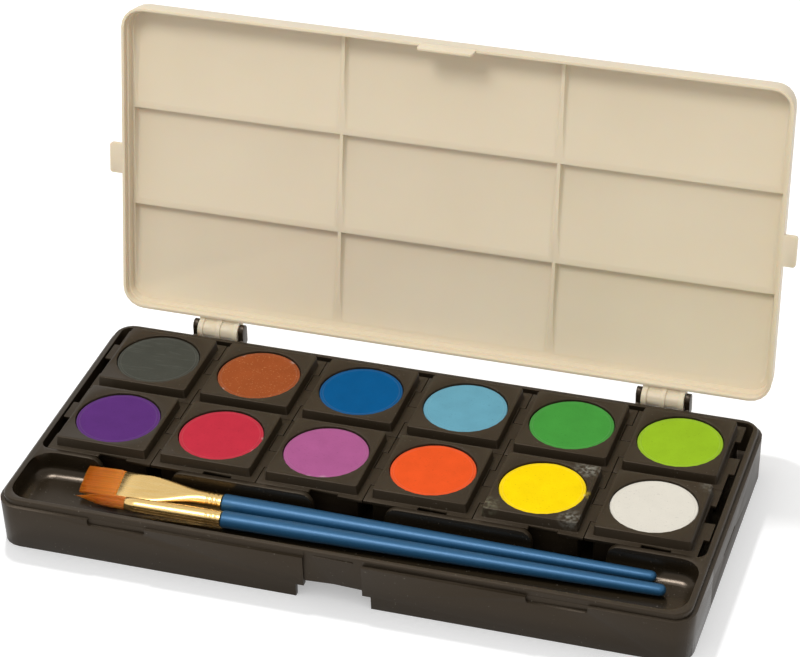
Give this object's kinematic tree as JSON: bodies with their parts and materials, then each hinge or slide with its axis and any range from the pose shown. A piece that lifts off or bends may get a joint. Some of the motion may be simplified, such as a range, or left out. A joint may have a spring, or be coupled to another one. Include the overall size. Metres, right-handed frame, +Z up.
{
  "type": "gouache paint set box",
  "caption": "Hinged plastic gouache paint box: dark tray with interlocking lift-out pans of round paint tablets, a brush trough with brushes, and a cream mixing lid.",
  "frame": {"origin": "middle of the foot of the tray's back wall, on the surface that the box stands on", "axes": "+X to the right seen from the front, +Y away from the user towards the hinges, +Z up"},
  "size_m": [0.2556, 0.152, 0.1393],
  "materials": {
    "tray_plastic": "fine-grained satin charcoal brown",
    "lid_plastic": "satin cream, slightly translucent",
    "pan_plastic": "satin charcoal brown",
    "paint_grey": "matt pressed paint",
    "paint_brown": "matt pressed paint with metallic specks",
    "paint_blue": "matt pressed paint",
    "paint_sky": "matt pressed paint",
    "paint_green": "matt pressed paint",
    "paint_lime": "matt pressed paint",
    "paint_violet": "matt pressed paint",
    "paint_crimson": "matt pressed paint",
    "paint_magenta": "matt pressed paint",
    "paint_orange": "matt pressed paint",
    "paint_yellow": "matt pressed paint",
    "paint_white": "matt pressed paint",
    "brush_handle": "metallic blue lacquer",
    "brush_ferrule": "gold-coloured drawn metal",
    "brush_bristle": "orange-brown synthetic filament"
  },
  "bodies": {
    "tray": {"tray": "tray_plastic"},
    "lid": {"lid": "lid_plastic"},
    "pan_grey": {"pan_grey": "pan_plastic", "paint_grey": "paint_grey"},
    "pan_brown": {"pan_brown": "pan_plastic", "paint_brown": "paint_brown"},
    "pan_blue": {"pan_blue": "pan_plastic", "paint_blue": "paint_blue"},
    "pan_sky": {"pan_sky": "pan_plastic", "paint_sky": "paint_sky"},
    "pan_green": {"pan_green": "pan_plastic", "paint_green": "paint_green"},
    "pan_lime": {"pan_lime": "pan_plastic", "paint_lime": "paint_lime"},
    "pan_violet": {"pan_violet": "pan_plastic", "paint_violet": "paint_violet"},
    "pan_crimson": {"pan_crimson": "pan_plastic", "paint_crimson": "paint_crimson"},
    "pan_magenta": {"pan_magenta": "pan_plastic", "paint_magenta": "paint_magenta"},
    "pan_orange": {"pan_orange": "pan_plastic", "paint_orange": "paint_orange"},
    "pan_yellow": {"pan_yellow": "pan_plastic", "paint_yellow": "paint_yellow"},
    "pan_white": {"pan_white": "pan_plastic", "paint_white": "paint_white"},
    "flat_brush": {"flat_brush_handle": "brush_handle", "flat_brush_ferrule": "brush_ferrule", "flat_brush_tuft": "brush_bristle"},
    "round_brush": {"round_brush_handle": "brush_handle", "round_brush_ferrule": "brush_ferrule", "round_brush_tuft": "brush_bristle"}
  },
  "joints": [
    {"name": "lid_hinge", "type": "hinge", "parent": "tray", "child": "lid", "pos_m": [0, 0.0063, 0.0183], "axis": [-1, 0, 0], "range_deg": [-100, 0]},
    {"name": "pan_grey_lift", "type": "slide", "parent": "tray", "child": "pan_grey", "axis": [0, 0, 1], "range_m": [0, 0.03]},
    {"name": "pan_brown_lift", "type": "slide", "parent": "tray", "child": "pan_brown", "axis": [0, 0, 1], "range_m": [0, 0.03]},
    {"name": "pan_blue_lift", "type": "slide", "parent": "tray", "child": "pan_blue", "axis": [0, 0, 1], "range_m": [0, 0.03]},
    {"name": "pan_sky_lift", "type": "slide", "parent": "tray", "child": "pan_sky", "axis": [0, 0, 1], "range_m": [0, 0.03]},
    {"name": "pan_green_lift", "type": "slide", "parent": "tray", "child": "pan_green", "axis": [0, 0, 1], "range_m": [0, 0.03]},
    {"name": "pan_lime_lift", "type": "slide", "parent": "tray", "child": "pan_lime", "axis": [0, 0, 1], "range_m": [0, 0.03]},
    {"name": "pan_violet_lift", "type": "slide", "parent": "tray", "child": "pan_violet", "axis": [0, 0, 1], "range_m": [0, 0.03]},
    {"name": "pan_crimson_lift", "type": "slide", "parent": "tray", "child": "pan_crimson", "axis": [0, 0, 1], "range_m": [0, 0.03]},
    {"name": "pan_magenta_lift", "type": "slide", "parent": "tray", "child": "pan_magenta", "axis": [0, 0, 1], "range_m": [0, 0.03]},
    {"name": "pan_orange_lift", "type": "slide", "parent": "tray", "child": "pan_orange", "axis": [0, 0, 1], "range_m": [0, 0.03]},
    {"name": "pan_yellow_lift", "type": "slide", "parent": "tray", "child": "pan_yellow", "axis": [0, 0, 1], "range_m": [0, 0.03]},
    {"name": "pan_white_lift", "type": "slide", "parent": "tray", "child": "pan_white", "axis": [0, 0, 1], "range_m": [0, 0.03]},
    {"name": "flat_brush_lift", "type": "slide", "parent": "tray", "child": "flat_brush", "axis": [0, 0, 1], "range_m": [0, 0.03]},
    {"name": "round_brush_lift", "type": "slide", "parent": "tray", "child": "round_brush", "axis": [0, 0, 1], "range_m": [0, 0.03]}
  ]
}
